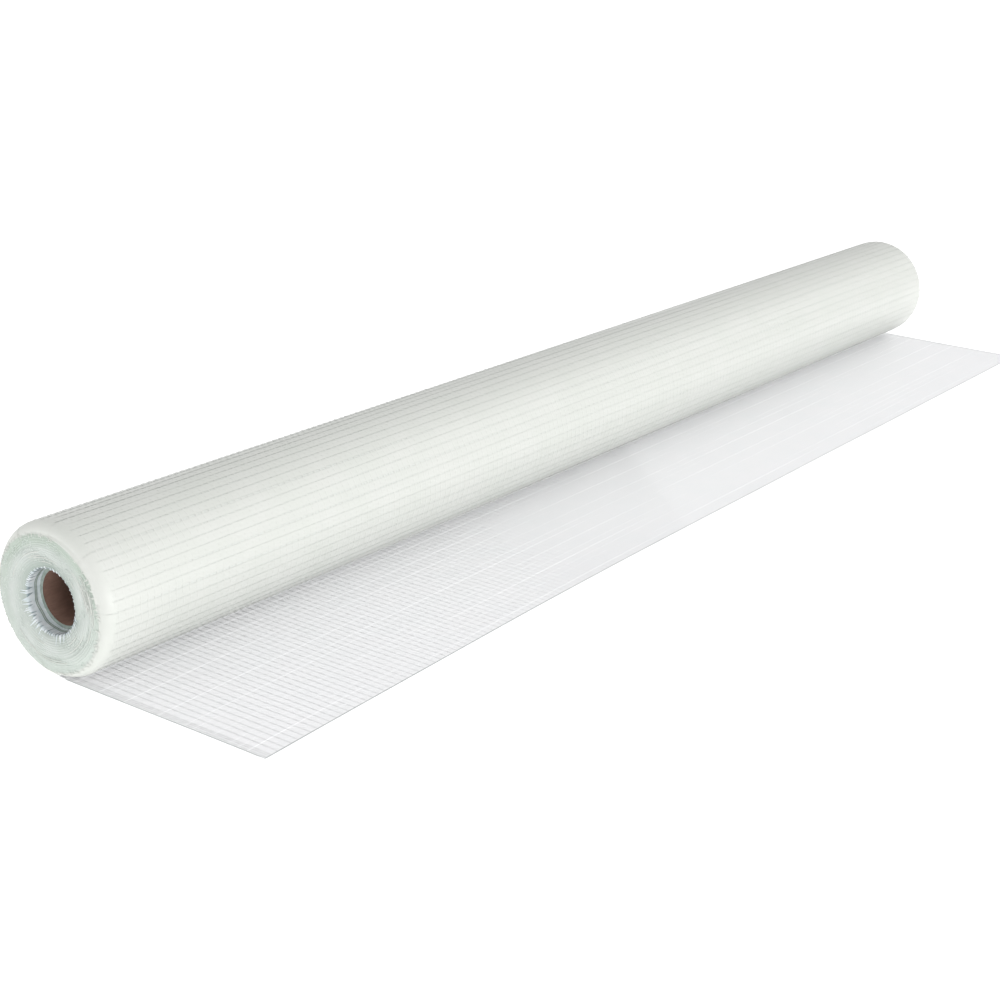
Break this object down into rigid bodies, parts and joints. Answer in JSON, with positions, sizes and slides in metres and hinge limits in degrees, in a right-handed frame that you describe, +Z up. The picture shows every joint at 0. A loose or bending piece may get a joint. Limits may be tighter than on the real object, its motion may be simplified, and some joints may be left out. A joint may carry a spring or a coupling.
{
  "type": "fiberglass mesh roll",
  "caption": "Roll of open-weave fiberglass mesh on a cardboard core, lying on its side with the loose tail of the web drawn out flat in front.",
  "frame": {"origin": "middle of the base of the part's bounding box", "axes": "+X along the roll, +Y from the cut edge of the tail towards the roll, +Z up"},
  "size_m": [1, 0.184, 0.085],
  "materials": {
    "mesh_web": "open leno weave of coated glass yarn, satin",
    "core_tube": "matte, spirally wound"
  },
  "bodies": {
    "root": {"mesh_web": "mesh_web", "core_tube": "core_tube"}
  },
  "joints": []
}
